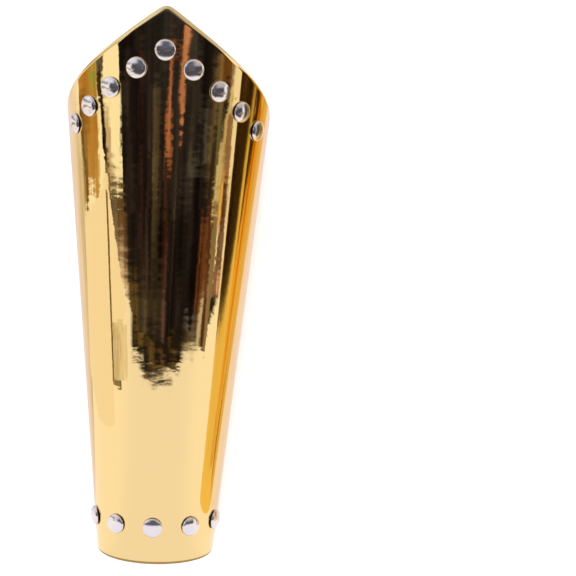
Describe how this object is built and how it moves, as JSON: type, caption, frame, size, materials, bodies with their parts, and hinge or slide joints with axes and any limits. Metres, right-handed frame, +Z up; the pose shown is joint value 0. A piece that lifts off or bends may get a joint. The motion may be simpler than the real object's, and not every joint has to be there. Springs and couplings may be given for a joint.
{
  "type": "arm bracer",
  "caption": "Tapered forearm guard of mirror-finish gold-coloured sheet metal, open along the back, with a peaked elbow end and rows of silver domed rivets.",
  "frame": {"origin": "on the surface it rests on, under the middle of its outline", "axes": "+Y along the forearm from the wrist end to the peaked elbow end, +Z up out of the front, +X across"},
  "size_m": [0.095, 0.257, 0.0856],
  "materials": {
    "gold_plate": "polished to a mirror",
    "rivet": "polished"
  },
  "bodies": {
    "root": {"plate": "gold_plate", "rivet_elbow_1": "rivet", "rivet_elbow_2": "rivet", "rivet_elbow_3": "rivet", "rivet_elbow_4": "rivet", "rivet_elbow_5": "rivet", "rivet_elbow_6": "rivet", "rivet_elbow_7": "rivet", "rivet_elbow_8": "rivet", "rivet_elbow_9": "rivet", "rivet_wrist_1": "rivet", "rivet_wrist_2": "rivet", "rivet_wrist_3": "rivet", "rivet_wrist_4": "rivet", "rivet_wrist_5": "rivet"}
  },
  "joints": []
}
